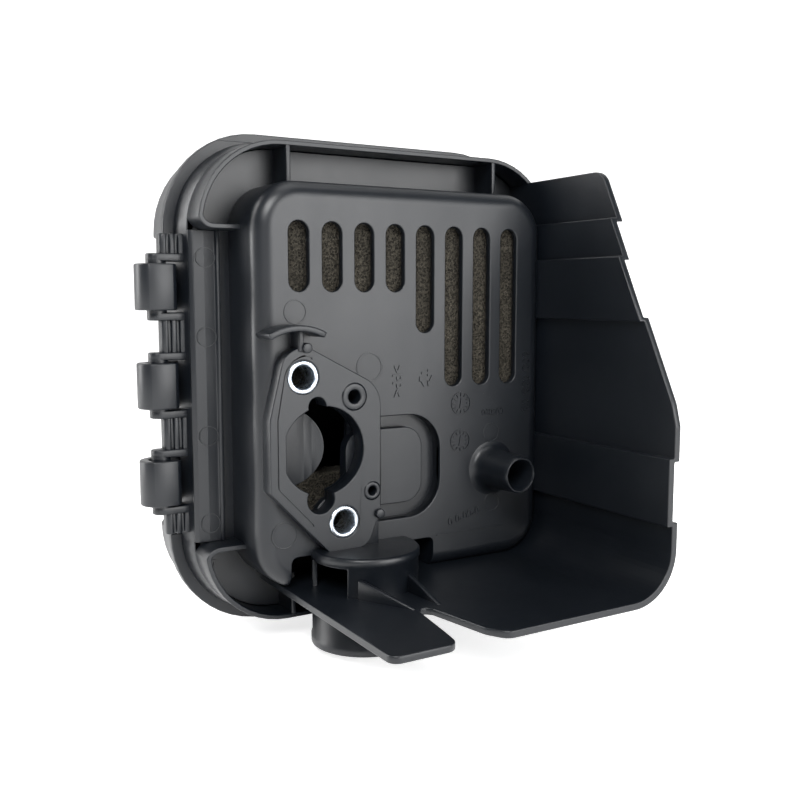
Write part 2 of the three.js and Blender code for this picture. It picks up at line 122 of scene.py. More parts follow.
class FilterHousingFlange(bpy.types.PropertyGroup):
    """Sizes of the flange that meets the carburettor."""

    throat: length("Throat", "Radius of the throat", 13.4)
    throat_flat: length("Throat flat", "Distance from the throat's centre to its flat side", 12.2)
    left: place("Left edge", "Left edge of the flange", -33.7)
    right: place("Right edge", "Right edge of the flange", 3.2)
    line: length("Line", "Width of the line engraved round the flange", 0.45)


class FilterHousingShroud(bpy.types.PropertyGroup):
    """Sizes of the shroud, the fin and the primer's well."""

    sheet: length("Sheet", "Thickness of the shroud", 2.2)
    step: length("Step", "Sideways step between the shroud's panels", 2)
    front: place("Front", "Free edge of the shroud", -57)
    corner: length("Corner", "Inner radius between side and bottom", 14)
    fin_left: place("Fin", "Left edge of the fin", -26)
    well: length("Well", "Outer radius of the primer's well", 17)
    well_wall: length("Well wall", "Thickness of the well's wall", 2)
    well_top: place("Well top", "Top of the primer's well", -31)
    well_bottom: place("Well bottom", "Mouth of the primer's well", -61)


class FilterHousingHinge(bpy.types.PropertyGroup):
    """Sizes of the hinge."""

    pitch: length("Pitch", "Distance from one hook to the next", 29.9)
    pin: length("Pin", "Radius of the pins", 3)
    bore: length("Bore", "Inner radius of the hooks", 3.6)
    outer: length("Outer", "Outer radius of the hooks", 6.5)
    hook: length("Hook", "Half the height of a hook", 7)
    flat: length("Hook front", "Distance of a hook's flat front from the pin's axis", 5.4)
    ear_reach: length("Ear reach", "Half the distance between two ears", 8.9)
    ear: length("Ear", "Thickness of an ear", 2.4)


class FilterHousingFinish(bpy.types.PropertyGroup):
    """Colours and grain."""

    plastic: FloatVectorProperty(name="Plastic", description="Colour of the moulded plastic",
                                 default=(0.0028, 0.0042, 0.0066), subtype="COLOR", min=0, max=1)
    foam: FloatVectorProperty(name="Foam", description="Colour of the foam",
                              default=(0.055, 0.049, 0.038), subtype="COLOR", min=0, max=1)
    gloss: FloatProperty(name="Roughness", description="Roughness of the plastic",
                         default=0.35, min=0, max=1, subtype="FACTOR")
    cell: length("Foam cell", "Size of the foam's surface cells", 0.8)


class FilterHousingStage(bpy.types.PropertyGroup):
    """Floor, camera and lamps."""

    azimuth: FloatProperty(name="Azimuth", description="Angle of the camera round the object, in degrees",
                           default=-30.66)
    elevation: FloatProperty(name="Elevation", description="Angle of the camera above the horizon, in degrees",
                             default=6.3)
    distance: length("Distance", "Camera to the point it looks at", 301.65)
    target: FloatVectorProperty(name="Target", description="Point the camera looks at",
                                default=(13 * MM, 5 * MM, 13.3 * MM), subtype="TRANSLATION", unit="LENGTH")
    lens: FloatProperty(name="Lens", description="Focal length in millimetres", default=42.65, min=1)
    ambient: FloatProperty(name="Ambient", description="Strength of the light from all round", default=0.06, min=0)


GROUPS = {
    "filter_body": FilterHousingBody,
    "filter_flange": FilterHousingFlange,
    "filter_shroud": FilterHousingShroud,
    "filter_hinge": FilterHousingHinge,
    "filter_finish": FilterHousingFinish,
    "filter_stage": FilterHousingStage,
}


def in_mm(group):
    """A group's lengths as plain numbers in millimetres."""
    return SimpleNamespace(**{name: getattr(group, name) / MM for name in type(group).__annotations__})


def sizes(context):
    """All lengths in millimetres, with the places that come from the CAD part."""
    scene = context.scene
    body = in_mm(scene.filter_body)
    low, high = (Vector(corner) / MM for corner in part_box("cover_seal"))
    body.x, body.z = (low.x + high.x) / 2, (low.z + high.z) / 2
    body.half_w = (high.x - low.x) / 2 - body.seal_offset
    body.half_h = (high.z - low.z) / 2 - body.seal_offset
    body.left, body.right = body.x - body.half_w, body.x + body.half_w
    body.bottom, body.top = body.z - body.half_h, body.z + body.half_h
    flange = in_mm(scene.filter_flange)
    flange.sleeves = [middle("sleeve_upper"), middle("sleeve_lower")]
    flange.x = sum(x for x, _ in flange.sleeves) / 2
    flange.z = sum(z for _, z in flange.sleeves) / 2
    hinge = in_mm(scene.filter_hinge)
    joint = next(j for j in frame["record"]["behaviour"]["joints"] if j["name"] == "cover_hinge")
    hinge.x, hinge.y, middle_z = (value / MM for value in joint["pos_m"])
    hinge.z = [middle_z + i * hinge.pitch for i in (-1, 0, 1)]
    shroud = in_mm(scene.filter_shroud)
    low, high = (Vector(corner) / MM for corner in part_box("primer_ring"))
    shroud.well_x, shroud.well_y = (low.x + high.x) / 2, (low.y + high.y) / 2
    return body, flange, shroud, hinge


def middle(node):
    """Middle of a CAD node as seen from the engine, in millimetres."""
    low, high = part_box(node)
    return (low[0] + high[0]) / 2 / MM, (low[2] + high[2]) / 2 / MM


# ------------------------------------------------------------------ outlines, in millimetres

def arc(a, b, r, start, end, tolerance=0.025):
    """Points along an arc between two angles."""
    step = 2 * acos(1 - min(0.3, tolerance / r))
    count = max(2, ceil(abs(end - start) / step))
    angles = [start + (end - start) * i / count for i in range(count + 1)]
    return [(a + r * cos(t), b + r * sin(t)) for t in angles]


def rounded(corners):
    """A polygon with rounded corners, each (a, b, radius)."""
    points = []
    for i, (a, b, r) in enumerate(corners):
        if r < 0.05:
            points.append((a, b))
            continue
        here = Vector((a, b))
        before = (Vector(corners[i - 1][:2]) - here).normalized()
        after = (Vector(corners[(i + 1) % len(corners)][:2]) - here).normalized()
        half = acos(before.dot(after)) / 2
        centre = here + (before + after).normalized() * (r / sin(half))
        first = here + before * (r / tan(half)) - centre
        last = here + after * (r / tan(half)) - centre
        start = atan2(first.y, first.x)
        sweep = atan2(first.x * last.y - first.y * last.x, first.dot(last))
        points += arc(centre.x, centre.y, r, start, start + sweep)
    return points


def rectangle(a0, a1, b0, b1, r=0):
    """A rectangle with equal corners."""
    return rounded([(a0, b0, r), (a1, b0, r), (a1, b1, r), (a0, b1, r)])


def outline(body, offset, steps=12):
    """The filter box's outline grown by an offset, always with the same number of points."""
    r = body.corner + offset
    points = []
    for quarter, (side, rise) in enumerate([(1, -1), (1, 1), (-1, 1), (-1, -1)]):
        cx = body.x + side * (body.half_w - body.corner)
        cz = body.z + rise * (body.half_h - body.corner)
        for i in range(steps + 1):
            t = (quarter - 1 + i / steps) * pi / 2
            points.append((cx + r * cos(t), cz + r * sin(t)))
    return points


# ------------------------------------------------------------------ solids

AXES = {
    "xz": lambda u, v, w: (u, w, v),
    "xy": lambda u, v, w: (u, v, w),
    "yz": lambda u, v, w: (w, u, v),
}


def solid(name, points, faces):
    """A closed mesh from points in millimetres, with its faces turned outwards."""
    mesh = bpy.data.meshes.new(name)
    mesh.from_pydata([Vector(p) * MM for p in points], [], faces)
    bm = bmesh.new()
    bm.from_mesh(mesh)
    bmesh.ops.remove_doubles(bm, verts=bm.verts, dist=0.001 * MM)
    bmesh.ops.recalc_face_normals(bm, faces=bm.faces)
    bm.to_mesh(mesh)
    bm.free()
    obj = bpy.data.objects.new(name, mesh)
    bpy.context.collection.objects.link(obj)
    return obj


def loft(name, rings, closed=False):
    """Skins rings of equal length, closing on itself or capped at both ends."""
    n = len(rings[0])
    points = [p for ring in rings for p in ring]
    count = len(rings) if closed else len(rings) - 1
    faces = []
    for k in range(count):
        a, b = k * n, (k + 1) % len(rings) * n
        faces += [(a + i, a + (i + 1) % n, b + (i + 1) % n, b + i) for i in range(n)]
    if not closed:
        faces += [tuple(range(n)), tuple(range(len(points) - n, len(points)))]
    return solid(name, points, faces)


def prism(outline_points, plane, low, high):
    """An outline in one plane carried from low to high along the third axis."""
    put = AXES[plane]
    return loft("prism", [[put(u, v, w) for u, v in outline_points] for w in (low, high)])


def swept(body, stations, closed):
    """The filter box's outline swept through stations of (offset, y)."""
    return loft("swept", [[(x, y, z) for x, z in outline(body, offset)] for offset, y in stations], closed)


def band(body, outer, inner, y0, y1):
    """A flat ring that follows the filter box's outline."""
    return swept(body, [(outer, y0), (outer, y1), (inner, y1), (inner, y0)], True)


def turned(x, other, axis, profile, sides=56):
    """A profile of (radius, height) turned about an axis along Y or Z, closed at its ends or on itself."""
    closed = profile[0] == profile[-1]
    rows = profile[:-1] if closed else [p for p in profile if p[0] > 0]
    rings = []
    for r, h in rows:
        circle = [(r * cos(2 * pi * i / sides), r * sin(2 * pi * i / sides)) for i in range(sides)]
        rings.append([(x + a, h, other + b) if axis == "y" else (x + a, other + b, h) for a, b in circle])
    return loft("turned", rings, closed)


def rod(r, x, z, y0, y1, sides=48):
    """A cylinder along Y."""
    return turned(x, z, "y", [(r, y0), (r, y1)], sides)


def evaluated(obj):
    """Replaces an object's mesh by what its modifiers make of it."""
    bpy.context.view_layer.update()
    graph = bpy.context.evaluated_depsgraph_get()
    mesh = bpy.data.meshes.new_from_object(obj.evaluated_get(graph), depsgraph=graph)
    obj.modifiers.clear()
    old = obj.data
    obj.data = mesh
    bpy.data.meshes.remove(old)
    return obj


def carve(obj, cut=(), add=(), common=()):
    """Cuts, joins or intersects a solid with others, which are used up."""
    tools = [(o, "DIFFERENCE") for o in cut] + [(o, "UNION") for o in add] + [(o, "INTERSECT") for o in common]
    for tool, operation in tools:
        modifier = obj.modifiers.new("carve", "BOOLEAN")
        modifier.operation = operation
        modifier.solver = "MANIFOLD"
        modifier.object = tool
    evaluated(obj)
    for tool, _ in tools:
        bpy.data.meshes.remove(tool.data)
    return obj


def soften(obj, width, segments=2, sharp=32):
    """Merges flat faces and rounds the edges that turn by more than an angle."""
    bm = bmesh.new()
    bm.from_mesh(obj.data)
    bmesh.ops.remove_doubles(bm, verts=bm.verts, dist=0.03 * MM)
    bmesh.ops.dissolve_limit(bm, angle_limit=radians(0.6), verts=bm.verts, edges=bm.edges)
    many_sided = [face for face in bm.faces if len(face.verts) > 12]
    bmesh.ops.triangulate(bm, faces=many_sided)
    bm.to_mesh(obj.data)
    bm.free()
    bevel = obj.modifiers.new("soft edges", "BEVEL")
    bevel.width = width * MM
    bevel.segments = segments
    bevel.limit_method = "ANGLE"
    bevel.angle_limit = radians(sharp)
    bevel.use_clamp_overlap = False
    bevel.loop_slide = False
    bevel.miter_outer = "MITER_ARC"
    return evaluated(obj)


def flat_regions(mesh, smallest):
    """Normals of the faces that lie in flat regions wider than an area in square millimetres."""
    bm = bmesh.new()
    bm.from_mesh(mesh)
    bm.faces.ensure_lookup_table()
    taken = [False] * len(bm.faces)
    normals = {}
    for seed in sorted(bm.faces, key=lambda face: -face.calc_area()):
        if taken[seed.index]:
            continue
        taken[seed.index] = True
        region = [seed]
        for face in region:
            near = {other for edge in face.edges for other in edge.link_faces if not taken[other.index]}
            for other in near:
                if seed.normal.dot(other.normal) > cos(radians(0.8)):
                    taken[other.index] = True
                    region.append(other)
        if sum(face.calc_area() for face in region) > smallest * MM * MM:
            normals.update((face.index, seed.normal.copy()) for face in region)
    bm.free()
    return normals


def smooth(mesh, corner=50, smallest=120):
    """Shades rounded stretches smoothly, and lets them lead into wide flat faces that stay flat."""
    mesh.polygons.foreach_set("use_smooth", [True] * len(mesh.polygons))
    mesh.set_sharp_from_angle(angle=radians(corner))
    flat = flat_regions(mesh, smallest)
    beside = {}
    for index, normal in flat.items():
        for vertex in mesh.polygons[index].vertices:
            beside.setdefault(vertex, []).append(normal)
    plain = [Vector(row.vector) for row in mesh.corner_normals]
    for face in mesh.polygons:
        for loop in face.loop_indices:
            if face.index in flat:
                plain[loop] = flat[face.index]
                continue
            near = [n for n in beside.get(mesh.loops[loop].vertex_index, ()) if n.dot(face.normal) > 0.5]
            if near:
                plain[loop] = max(near, key=face.normal.dot)
    mesh.normals_split_custom_set(plain)


def assemble(name, parts, material):
    """Joins parts into one object with one material."""
    whole = parts[0]
    with bpy.context.temp_override(active_object=whole, selected_editable_objects=parts):
        bpy.ops.object.join()
    whole.name = whole.data.name = name
    whole.data.materials.clear()
    whole.data.materials.append(material)
    whole.data.polygons.foreach_set("material_index", [0] * len(whole.data.polygons))
    smooth(whole.data)
    return whole


def finished(obj, body_name, *nodes):
    """Puts a finished piece on its body in place of CAD nodes."""
    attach(obj, body_name)
    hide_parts(*nodes)
    slot = next(s["material_slot"] for s in frame["record"]["subparts"] if s["node"] == nodes[0])
    return obj


# ------------------------------------------------------------------ repeated details

def repeat_tree():
    """Geometry nodes that set a piece on every point, turned and sized by the point's own values."""
    tree = bpy.data.node_groups.new("repeat on points", "GeometryNodeTree")
    face = tree.interface
    face.new_socket("Geometry", in_out="INPUT", socket_type="NodeSocketGeometry")
    face.new_socket("Piece", in_out="INPUT", socket_type="NodeSocketObject")
    face.new_socket("Material", in_out="INPUT", socket_type="NodeSocketMaterial")
    face.new_socket("Geometry", in_out="OUTPUT", socket_type="NodeSocketGeometry")
    add = tree.nodes.new
    join = tree.links.new
    start, end = add("NodeGroupInput"), add("NodeGroupOutput")
    info = add("GeometryNodeObjectInfo")
    spread = add("GeometryNodeInstanceOnPoints")
    turn, scale = add("GeometryNodeInputNamedAttribute"), add("GeometryNodeInputNamedAttribute")
    for node, name in ((turn, "turn"), (scale, "size")):
        node.data_type = "FLOAT_VECTOR"
        node.inputs["Name"].default_value = name
    euler = add("FunctionNodeEulerToRotation")
    real, paint = add("GeometryNodeRealizeInstances"), add("GeometryNodeSetMaterial")
    join(start.outputs["Piece"], info.inputs["Object"])
    join(start.outputs["Geometry"], spread.inputs["Points"])
    join(info.outputs["Geometry"], spread.inputs["Instance"])
    join(turn.outputs["Attribute"], euler.inputs[0])
    join(euler.outputs[0], spread.inputs["Rotation"])
    join(scale.outputs["Attribute"], spread.inputs["Scale"])
    join(spread.outputs["Instances"], real.inputs["Geometry"])
    join(real.outputs["Geometry"], paint.inputs["Geometry"])
    join(start.outputs["Material"], paint.inputs["Material"])
    join(paint.outputs["Geometry"], end.inputs["Geometry"])
    return tree


def repeated(piece, places, material):
    """Copies of a piece at places of (position in mm, turn in radians, size), as one plain mesh."""
    mesh = bpy.data.meshes.new("repeated")
    mesh.from_pydata([Vector(at) * MM for at, _, _ in places], [], [])
    for name, index in (("turn", 1), ("size", 2)):
        values = [value for row in places for value in row[index]]
        mesh.attributes.new(name, "FLOAT_VECTOR", "POINT").data.foreach_set("vector", values)
    obj = bpy.data.objects.new("repeated", mesh)
    bpy.context.collection.objects.link(obj)
    tree = bpy.data.node_groups.get("repeat on points") or repeat_tree()
    modifier = obj.modifiers.new("repeat", "NODES")
    modifier.node_group = tree
    sockets = {s.name: s.identifier for s in tree.interface.items_tree if s.in_out == "INPUT"}
    modifier[sockets["Piece"]] = piece
    modifier[sockets["Material"]] = material
    evaluated(obj)
    bpy.data.meshes.remove(piece.data)
    return obj


# ------------------------------------------------------------------ materials

class Value:
    """A number in a material's node tree, which adds and multiplies like any other."""

    def __init__(self, shader, socket):
        self.shader = shader
        self.socket = socket

    def _maths(self, operation, first, second):
        node = self.shader.node("ShaderNodeMath", operation=operation)
        for slot, value in zip(node.inputs, (first, second)):
            self.shader.feed(slot, value)
        return Value(self.shader, node.outputs[0])

    def __add__(self, other):
        return self._maths("ADD", self, other)

    def __radd__(self, other):
        return self._maths("ADD", other, self)

    def __sub__(self, other):
        return self._maths("SUBTRACT", self, other)

    def __rsub__(self, other):
        return self._maths("SUBTRACT", other, self)

    def __mul__(self, other):
        return self._maths("MULTIPLY", self, other)

    def __rmul__(self, other):
        return self._maths("MULTIPLY", other, self)

    def step(self, low, high):
        """Rises smoothly from 0 to 1 between two values."""
        node = self.shader.node("ShaderNodeMapRange", interpolation_type="SMOOTHSTEP")
        for name, value in (("Value", self), ("From Min", low), ("From Max", high)):
            self.shader.feed(node.inputs[name], value)
        return Value(self.shader, node.outputs["Result"])


class Shader:
    """One Principled material and the nodes that feed it."""

    def __init__(self, name):
        self.material = bpy.data.materials.new(name)
        self.material.use_nodes = True
        self.tree = self.material.node_tree
        self.surface = self.tree.nodes["Principled BSDF"]
        self.coords = self.node("ShaderNodeTexCoord").outputs["Object"]

    def node(self, kind, **settings):
        """A new node with its settings."""
        node = self.tree.nodes.new(kind)
        for name, value in settings.items():
            setattr(node, name, value)
        return node

    def feed(self, slot, value):
        """Links a value into a socket, or sets the socket to a plain number."""
        if isinstance(value, Value):
            self.tree.links.new(value.socket, slot)
        elif isinstance(value, bpy.types.NodeSocket):
            self.tree.links.new(value, slot)
        else:
            slot.default_value = value

    def noise(self, size_mm, detail=2.0, roughness=0.5, stretch=(1, 1, 1)):
        """Noise with features of a size, from 0 to 1."""
        mapping = self.node("ShaderNodeMapping")
        self.feed(mapping.inputs["Vector"], self.coords)
        mapping.inputs["Scale"].default_value = stretch
        texture = self.node("ShaderNodeTexNoise")
        self.feed(texture.inputs["Vector"], mapping.outputs["Vector"])
        texture.inputs["Scale"].default_value = 1 / (size_mm * MM)
        texture.inputs["Detail"].default_value = detail
        texture.inputs["Roughness"].default_value = roughness
        return Value(self, texture.outputs["Fac"])

    def cells(self, size_mm):
        """Distance to the nearest cell's middle, in cell sizes."""
        texture = self.node("ShaderNodeTexVoronoi")
        self.feed(texture.inputs["Vector"], self.coords)
        texture.inputs["Scale"].default_value = 1 / (size_mm * MM)
        return Value(self, texture.outputs["Distance"])

    def blend(self, factor, first, second):
        """A colour between two colours."""
        node = self.node("ShaderNodeMix", data_type="RGBA")
        for slot, value in zip((node.inputs[0], node.inputs[6], node.inputs[7]), (factor, first, second)):
            if isinstance(value, (tuple, list)):
                value = (*value, 1)[:4]
            self.feed(slot, value)
        return node.outputs[2]

    def relief(self, height, depth_mm):
        """Bumps the surface by a height from 0 to 1."""
        node = self.node("ShaderNodeBump")
        node.inputs["Distance"].default_value = depth_mm * MM
        node.inputs["Strength"].default_value = 1
        self.feed(node.inputs["Height"], height)
        self.feed(self.surface.inputs["Normal"], node.outputs["Normal"])

    def set(self, **inputs):
        """Sets or feeds the surface's own inputs, named with underscores for spaces."""
        for name, value in inputs.items():
            self.feed(self.surface.inputs[name.replace("_", " ")], value)
        return self


def shade(colour, factor):
    """A colour made lighter or darker."""
    return tuple(min(1.0, channel * factor) for channel in colour)


def moulded(finish, name="moulded plastic"):
    """Glass-filled black plastic: fine grain, faint flow clouds, dust and rubbed patches."""
    shader = Shader(name)
    clouds = shader.noise(28, detail=3)
    streaks = shader.noise(7, detail=4, roughness=0.6, stretch=(1, 1, 0.18))
    grain = shader.noise(0.35, detail=3, roughness=0.6)
    ripple = shader.noise(6, detail=1)
    dust = shader.cells(1.7).step(0.10, 0.02) * clouds.step(0.5, 0.75)
    base = shader.blend(clouds * 0.6 + streaks * 0.4, shade(finish.plastic, 0.8), shade(finish.plastic, 1.3))
    shader.set(
        Base_Color=shader.blend(dust * 0.35, base, (0.16, 0.155, 0.145)),
        Roughness=finish.gloss - 0.09 + clouds * 0.13 + streaks * 0.08 + grain * 0.04 + dust * 0.2,
        IOR=1.5,
    )
    shader.relief(grain * 0.5 + ripple * 0.9, 0.045)
    return shader.material


def foam_material(finish):
    """Open-cell foam, oiled and slightly uneven, with painted shade darkening its pore cells."""
    shader = Shader("filter foam")
    pores = shader.cells(finish.cell / MM).step(0.15, 0.6)
    fine = shader.noise(0.5, detail=4, roughness=0.7)
    stain = shader.noise(14, detail=3)
    colour = shader.blend(stain.step(0.35, 0.7), shade(finish.foam, 0.75), shade(finish.foam, 1.25))
    colour = shader.blend(fine.step(0.38, 0.62), shade(finish.foam, 0.3), colour)
    shader.set(
        # The middle of each pore cell is darkened to near black: painted shade inside the pore holes.
        Base_Color=shader.blend((1 - pores) * 0.8, colour, shade(finish.foam, 0.12)),
        Roughness=0.95,
        Specular_IOR_Level=0.2,
    )
    shader.relief(pores * 0.7 + fine * 0.6, 0.5)
    return shader.material


def zinc_material():
    """Bright zinc plate with a bluish cast and fine turning marks."""
    shader = Shader("bright zinc")
    cloud = shader.noise(2.5, detail=3)
    marks = shader.noise(0.5, detail=2, stretch=(0.3, 6, 0.3))
    shader.set(
        Base_Color=shader.blend(cloud, (0.50, 0.58, 0.68), (0.84, 0.87, 0.90)),
        Roughness=0.16 + cloud * 0.16 + marks * 0.08,
        Metallic=1.0,
    )
    shader.relief(marks + cloud * 0.5, 0.02)
    return shader.material


def rubber_material(name, tone):
    """Soft black rubber with a dusty bloom."""
    shader = Shader(name)
    bloom = shader.noise(5, detail=4, roughness=0.6)
    grain = shader.noise(0.25, detail=2)
    shader.set(
        Base_Color=shader.blend(bloom.step(0.45, 0.8), (tone,) * 3, (tone * 2.4,) * 3),
        Roughness=0.6 + bloom * 0.2,
    )
    shader.relief(grain, 0.03)
    return shader.material


def material(name, make):
    """A material by its name, made the first time it is asked for."""
    return bpy.data.materials.get(name) or make()


def plastic(context):
    """The moulded plastic that the housing, cover, tabs and ring share."""
    return material("moulded plastic", lambda: moulded(context.scene.filter_finish))


# ------------------------------------------------------------------ rear housing

def slot_openings():
    """Middle, foot and head of each intake slot, from the openings in the record."""
    side, end = 0.5, 2
    slots = []
    for row in frame["record"]["physics"]["openings"]:
        if row["name"].startswith("slot_"):
            low, high = (Vector(corner) / MM for corner in row["box_m"])
            slots.append((low.x - side, high.x + side, low.z - end, high.z + end))
    return slots


def throat_outline(flange, grow=0):
    """The throat, a circle cut off by a flat side."""
    r = flange.throat + grow
    reach = acos((flange.throat_flat + grow) / r)
    return arc(flange.x, flange.z, r, pi + reach, 3 * pi - reach)


def throat_cutters(flange, y0, y1):
    """The throat and its two lobes."""
    return [
        prism(throat_outline(flange), "xz", y0, y1),
        rod(2.9, flange.x - 2, flange.z + 13.4, y0, y1),
        rod(4.5, flange.x - 1.1, flange.z - 14.6, y0, y1),
    ]


PASSAGES = ((-6.1, 15.9, 2.1, 4.1), (0.0, -13.7, 1.45, 2.8))   # x, z, hole and ring radius
PEGS = ((-21.9, 31.1), (2.4, -21.1))
NIPPLE = (49.2, -11.9)
NOTCH = (-25, 25.7, -33)                                       # left, right and top of the well's notch


def pad_outline(flange, inset=0):
    """The raised flange's outline, or one inset from it."""
    i = inset
    return rounded([
        (flange.left + i, -11.4 + i * 0.4, 2), (-14.8 + i * 0.4, -31.4 + i, 1), (-1.5 - i * 0.4, -31.4 + i, 5.3),
        (flange.right - i, -20 + i * 0.5, 5), (flange.right - i, 18.5 - i, 9.3), (-21 - i * 0.3, 31.2 - i, 5),
        (-28.5 + i * 0.3, 31.2 - i, 7.3), (flange.left + i, 10, 6),
    ])


def face_block(body, flange):
    """The filter box with its slots, throat, passages, groove and notch."""
    r, y = body.face_round, body.face_y
    curve = [(-r * (1 - cos(t)), y + r * (1 - sin(t))) for t in (pi / 2 * i / 8 for i in range(9))]
    block = swept(body, [(0, body.floor_y + body.wall)] + curve, False)
    inner_r = r - body.wall
    depth = y + body.wall + 0.3
    inner = [(-body.wall - inner_r * (1 - cos(t)), depth + inner_r * (1 - sin(t)))
             for t in (pi / 2 * i / 5 for i in range(6))]
    hollow = swept(body, [(-body.wall, body.joint_y)] + inner, False)
    left, right, top = NOTCH
    grow = body.wall
    keep = prism(rectangle(left - grow, right + grow, body.bottom - 5, top + grow, 2), "xz", 0, body.floor_y)
    room = prism(rectangle(left, right, body.bottom - 6, top, 2), "xz", 0, body.floor_y - grow)
    carve(hollow, cut=[keep])
    cutters = [hollow, room, *throat_cutters(flange, 0, 12)]
    cutters += [prism(rectangle(a, b, c, d, 3.28), "xz", 0, 12) for a, b, c, d in slot_openings()]
    cutters += [rod(hole, x, z, 0, 12, 24) for x, z, hole, _ in PASSAGES]
    cutters += [rod(5.05, x, z, 0, 12) for x, z in flange.sleeves]
    cutters += [rod(4.95, *NIPPLE, 0, 12)]
    groove = prism(groove_outline(0), "xz", y - 1, y + 4.4)
    island = prism(rectangle(-6, 21.2, -20, 4.5, 6.5), "xz", y - 2, y + 6)
    cutters.append(carve(groove, cut=[island]))
    return soften(carve(block, cut=cutters), body.edge)


def groove_outline(grow):
    """Outer edge of the U-shaped groove beside the flange."""
    right, top, bottom, r = 28.3 + grow, 8.4 + grow, -25.1 - grow, 12 + grow
    return rounded([(-4, bottom, 0), (right, bottom, r), (right, top, r), (-4, top, 0)])


def flange_parts(body, flange):
    """The raised flange with its line, rings and pegs, the arc rib over it and the groove's tray."""
    y = body.face_y
    pad = prism(pad_outline(flange), "xz", 0, y + 1)
    holes = throat_cutters(flange, -1, y + 4)
    holes += [rod(5.05, x, z, -1, y + 4) for x, z in flange.sleeves]
    rings = [rod(ring, x, z, -0.45, y + 1, 36) for x, z, _, ring in PASSAGES]
    holes += [rod(hole, x, z, -1, y + 4, 24) for x, z, hole, _ in PASSAGES]
    soften(carve(carve(pad, add=rings), cut=holes), body.edge)
    line = prism(pad_outline(flange, 2.2), "xz", -1, 0.35)
    inside = prism(pad_outline(flange, 2.2 + flange.line), "xz", -2, 1)
    keep_off = prism(rectangle(-20, 20, -40, 40), "xz", -2, 1)
    carve(line, cut=[inside, keep_off])
    carve(pad, cut=[line])
    parts = [pad]
    parts += [soften(rod(1.5, x, z, -1.4, 1, 24), 0.3) for x, z in PEGS]
    tray = prism(groove_outline(1.6), "xz", y + 1, y + 6.2)
    pocket = prism(groove_outline(0), "xz", y, y + 4.4)
    parts.append(carve(tray, cut=[pocket]))
    island = prism(rectangle(-6, 21.2, -20, 4.5, 6.5), "xz", y + 1, y + 5)
    parts.append(island)
    sweep = (1.08, 2.1)
    over = arc(-26, 19, 18.9, *sweep) + arc(-26, 19, 17.1, *reversed(sweep))
    parts.append(soften(prism(over, "xz", -4.5, y + 1), 0.4))
    stem = rectangle(-24.4, -22.8, 30, 37.2)
    parts.append(soften(prism(stem, "xz", -0.6, y + 1), 0.3))
    for x, z in flange.sleeves:
        boss = turned(x, z, "y", [(5.05, y + 1), (7.2, y + 1), (7.2, 9), (5.05, 9), (5.05, y + 1)])
        parts.append(soften(boss, 0.3))
    return parts


def nipple(body):
    """The tapered breather nipple with a soft foot and a chamfered end."""
    y = body.face_y
    end = -11.2
    profile = [(4.95, end + 0.5), (5.3, end), (5.6, end), (5.85, end + 0.3), (6.1, end + 2.5), (6.55, 0.4),
               (6.9, 2.4), (7.5, 3.9), (8.3, 4.7), (9.6, y + 0.1), (9.6, y + 0.6), (4.95, y + 0.6),
               (4.95, end + 0.5)]
    return turned(*NIPPLE, "y", profile, 64)


def deflector(body, flange):
    """The rounded tongue behind the throat."""
    bend = 34
    centre = (body.left + 6, 14.5 - bend)
    sheet = arc(*centre, bend, 1.0, 1.9) + arc(*centre, bend - 1.8, 1.9, 1.0)
    trim = prism(rounded([(body.left + 1, -13, 0), (-12.4, -13, 12.9), (-12.4, 13, 12.9),
                          (body.left + 1, 13, 0)]), "xz", 6, 24)
    return soften(carve(prism(sheet, "xy", -16, 16), common=[trim]), 0.4)


def bay(body, hinge_zone_inset):
    """The part of the rim's outline that is left out beside the hinge."""
    i = hinge_zone_inset
    left = body.left - body.rim + i
    low, high, r = body.zone_low - i, body.zone_high + i, 5 - i
    end = body.left + body.wall
    return rounded([
        (left - 20, low - r - 0.1, 0), (left, low - r - 0.1, 0), (left, low, r), (end, low, 0),
        (end, high, 0), (left, high, r), (left, high + r + 0.1, 0), (left - 20, high + r + 0.1, 0)])


def rim_parts(body):
    """Rim wall with its curled ends, channel floor, skirt, hinge column and channel ribs."""
    back = body.floor_y + body.wall
    rim = swept(body, [(body.rim, back), (body.rim, body.rim_y)], False)
    hollow = swept(body, [(body.rim - body.rib, back + 1), (body.rim - body.rib, body.rim_y - 1)], False)
    carve(hollow, cut=[prism(bay(body, body.rib), "xz", 0, 60)])
    carve(rim, cut=[prism(bay(body, 0), "xz", 0, 60), hollow])
    parts = [soften(rim, body.edge)]
    parts.append(band(body, body.rim - 0.1, -body.wall + 0.1, body.floor_y, back))
    skirt = [(body.rim, body.floor_y), (body.rim + body.flare, body.joint_y),
             (body.rim + body.flare - body.wall, body.joint_y), (body.rim - body.wall, body.floor_y)]
    parts.append(soften(swept(body, skirt, True), body.edge, sharp=50))
    left = body.left - body.rim
    right = body.left - 3.6
    bow = [(left, back), (left, body.column_y + 1.2), (left + 1.2, body.column_y + 0.2),
           (left + 4.4, body.column_y - 0.2), (right - 1.5, body.column_y + 0.1),
           (right - 1.1, body.column_y - 0.8), (right, body.column_y - 0.8), (right, back)]
    parts.append(soften(prism(bow, "xy", body.zone_low, body.zone_high), 0.25, sharp=25))
    step = rectangle(right, body.left + 1, body.zone_low, body.zone_high)
    parts.append(prism(step, "xz", body.floor_y - 0.6, back))
    for x in (-19, 58):
        high = (body.top - 2, body.top + body.rim - 0.5)
        low = (body.bottom - body.rim + 0.5, body.bottom + 2)
        for z0, z1 in (high, low):
            upright = rectangle(x - 0.75, x + 0.75, z0, z1)
            parts.append(soften(prism(upright, "xz", body.rim_y + 0.1, body.floor_y + 1), 0.3))
    return parts


